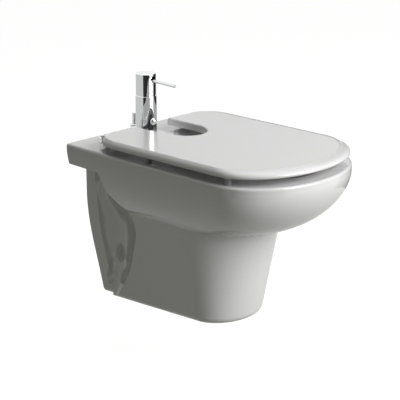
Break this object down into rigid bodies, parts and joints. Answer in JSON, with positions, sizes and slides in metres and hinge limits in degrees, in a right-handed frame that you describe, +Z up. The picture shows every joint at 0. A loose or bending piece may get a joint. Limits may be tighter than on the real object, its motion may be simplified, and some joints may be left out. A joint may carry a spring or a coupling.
{
  "type": "wall hung bidet",
  "caption": "Wall hung ceramic bidet with a notched hinged lid, a single lever deck mixer with a swivel ball outlet and a rod operated pop-up waste.",
  "frame": {"origin": "midway between the two wall fixing holes, on the wall face of the bidet", "axes": "+Y into the wall, -Y out into the room, +X along the wall to the right of someone facing it, +Z up"},
  "size_m": [0.355, 0.566, 0.4979],
  "materials": {
    "glazed_ceramic": "white high gloss glaze",
    "lid_plastic": "white gloss moulding",
    "chrome": "polished",
    "rubber": "matt black",
    "pale_rubber": "matt grey",
    "brass": "turned",
    "steel": "plain",
    "white_plastic": "matt moulding"
  },
  "bodies": {
    "fixed": {"bidet_body": "glazed_ceramic", "hinge_posts": "chrome", "hinge_bushes": "white_plastic", "hinge_seals": "pale_rubber", "hinge_studs": "steel", "hinge_sleeves": "rubber", "hinge_nuts": "brass", "mixer_body": "chrome", "outlet_collar": "chrome", "mixer_base_seal": "rubber", "cartridge": "white_plastic", "cartridge_nut": "brass", "mixer_trim_ring": "chrome", "mixer_stud": "steel", "clamp_seal": "rubber", "clamp_plate": "steel", "mixer_nut": "brass", "rod_guide": "chrome", "rod_guide_nut": "brass", "pivot_nut": "white_plastic", "pivot_seal": "rubber", "waste_flange": "chrome", "waste_body": "brass", "waste_seal": "rubber", "waste_back_nut": "brass", "tailpiece": "brass", "tail_seal": "rubber", "tail_nut": "brass"},
    "lid_set": {"lid": "lid_plastic", "lid_bumpers": "pale_rubber", "hinge_pins": "steel", "hinge_caps": "chrome"},
    "ball_set": {"outlet_ball": "chrome", "aerator": "white_plastic"},
    "cap_set": {"mixer_cap": "chrome", "cartridge_stem": "brass", "cap_grub_screw": "steel", "lever_pin": "steel"},
    "lever_set": {"lever": "chrome"},
    "lift_set": {"lift_knob": "chrome", "lift_rod": "steel", "rod_clamp": "brass", "clamp_screw": "steel", "link_strap": "steel"},
    "pivot_set": {"pivot_rod": "steel"},
    "plug_set": {"plug": "chrome", "plug_seal": "rubber"}
  },
  "joints": [
    {"name": "lid_hinge", "type": "hinge", "parent": "fixed", "child": "lid_set", "pos_m": [0, -0.07, 0.0935], "axis": [-1, 0, 0], "range_deg": [0, 95]},
    {"name": "temperature_turn", "type": "hinge", "parent": "fixed", "child": "cap_set", "pos_m": [0, -0.067, 0.19], "axis": [0, 0, 1], "range_deg": [-50, 50]},
    {"name": "lever_lift", "type": "hinge", "parent": "cap_set", "child": "lever_set", "pos_m": [0, -0.075, 0.2025], "axis": [-1, 0, 0], "range_deg": [0, 20]},
    {"name": "outlet_tilt", "type": "hinge", "parent": "fixed", "child": "ball_set", "pos_m": [0, -0.086, 0.113], "axis": [-1, 0, 0], "range_deg": [-12, 12]},
    {"name": "lift_slide", "type": "slide", "parent": "fixed", "child": "lift_set", "axis": [0, 0, 1], "range_m": [0, 0.036]},
    {"name": "pivot_swing", "type": "hinge", "parent": "fixed", "child": "pivot_set", "pos_m": [0, -0.191, -0.128], "axis": [1, 0, 0], "range_deg": [0, 13.14]},
    {"name": "plug_slide", "type": "slide", "parent": "fixed", "child": "plug_set", "axis": [0, 0, -1], "range_m": [0, 0.00549]}
  ],
  "couplings": [
    {"joint": "pivot_swing", "follows": "lift_slide", "rad_per_m": 6.3712},
    {"joint": "plug_slide", "follows": "lift_slide", "ratio": 0.15257}
  ]
}
